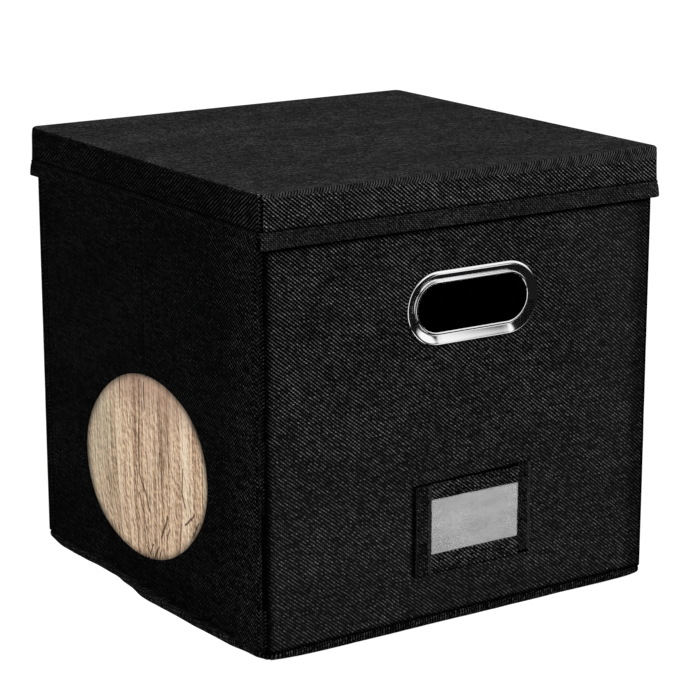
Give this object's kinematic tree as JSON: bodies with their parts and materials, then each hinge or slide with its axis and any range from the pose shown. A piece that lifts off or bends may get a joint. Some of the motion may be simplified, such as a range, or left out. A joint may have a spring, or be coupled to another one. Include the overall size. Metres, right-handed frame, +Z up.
{
  "type": "record carrying case",
  "caption": "Cube-shaped fold-flat case for records: cloth-covered board walls, lift-off skirted lid, metal handle frames, label pocket and an oval window in one side.",
  "frame": {"origin": "on the ground under the middle of the case", "axes": "+X along the front wall to its right, front wall faces -Y, side with the oval window faces -X, +Z up"},
  "size_m": [0.3528, 0.3448, 0.3379],
  "materials": {
    "cover_cloth": "coarse black linen-look weave with grey flecks",
    "binding": "the same black cloth, cut in strips and sewn flat",
    "lining": "thin black non-woven lining",
    "board": "pale wood-grained fibreboard",
    "handle_metal": "bright plated pressed steel",
    "ring_metal": "plain plated steel ring",
    "pane": "clear flexible plastic sheet",
    "card": "plain light grey card",
    "ribbon": "flat black woven tape"
  },
  "bodies": {
    "case_back": {"floor_cover": "cover_cloth", "base_hinge_tape": "ribbon", "back_board": "board", "back_cover": "cover_cloth", "back_lining": "lining", "back_left_seam": "cover_cloth", "back_right_seam": "cover_cloth", "back_handle_frame": "handle_metal", "back_handle_ring": "ring_metal"},
    "base_panel": {"base_board": "board", "base_wrap": "lining", "base_pull_tab": "ribbon"},
    "left_back_half": {"left_back_board": "board", "left_back_cover": "cover_cloth", "left_back_lining": "lining"},
    "left_front_half": {"left_front_board": "board", "left_front_cover": "cover_cloth", "left_front_lining": "lining"},
    "right_back_half": {"right_back_board": "board", "right_back_cover": "cover_cloth", "right_back_lining": "lining"},
    "right_front_half": {"right_front_board": "board", "right_front_cover": "cover_cloth", "right_front_lining": "lining"},
    "front_wall": {"front_board": "board", "front_cover": "cover_cloth", "front_lining": "lining", "front_left_seam": "cover_cloth", "front_right_seam": "cover_cloth", "front_handle_frame": "handle_metal", "front_handle_ring": "ring_metal", "label_strip_left": "binding", "label_strip_right": "binding", "label_strip_top": "binding", "label_strip_bottom": "binding", "label_pane": "pane"},
    "card": {"label_card": "card"},
    "lid": {"lid_board": "board", "lid_skirt_board_front": "board", "lid_skirt_board_back": "board", "lid_skirt_board_left": "board", "lid_skirt_board_right": "board", "lid_cover": "cover_cloth", "lid_binding": "binding", "lid_lining": "lining"}
  },
  "joints": [
    {"name": "left_back_fold", "type": "hinge", "parent": "case_back", "child": "left_back_half", "pos_m": [-0.1676, 0.1551, 0], "axis": [0, 0, -1], "range_deg": [-88, 0]},
    {"name": "left_front_fold", "type": "hinge", "parent": "left_back_half", "child": "left_front_half", "pos_m": [-0.1725, 0, 0], "axis": [0, 0, 1], "range_deg": [-176, 0]},
    {"name": "front_fold", "type": "hinge", "parent": "left_front_half", "child": "front_wall", "pos_m": [-0.1676, -0.1551, 0], "axis": [0, 0, -1], "range_deg": [-88, 0]},
    {"name": "right_back_fold", "type": "hinge", "parent": "case_back", "child": "right_back_half", "pos_m": [0.1676, 0.1551, 0], "axis": [0, 0, 1], "range_deg": [-88, 0]},
    {"name": "right_front_fold", "type": "hinge", "parent": "right_back_half", "child": "right_front_half", "pos_m": [0.1725, 0, 0], "axis": [0, 0, -1], "range_deg": [-176, 0]},
    {"name": "base_flip", "type": "hinge", "parent": "case_back", "child": "base_panel", "pos_m": [0, 0.1606, 0.0055], "axis": [1, 0, 0], "range_deg": [-90, 0]},
    {"name": "lid_lift", "type": "slide", "parent": "case_back", "child": "lid", "axis": [0, 0, 1], "range_m": [0, 0.36]},
    {"name": "card_pull", "type": "slide", "parent": "front_wall", "child": "card", "axis": [0, 0, 1], "range_m": [0, 0.075]}
  ],
  "couplings": [
    {"joint": "left_front_fold", "follows": "left_back_fold", "ratio": 2},
    {"joint": "front_fold", "follows": "left_back_fold", "ratio": 1},
    {"joint": "right_back_fold", "follows": "left_back_fold", "ratio": 1},
    {"joint": "right_front_fold", "follows": "left_back_fold", "ratio": 2}
  ]
}
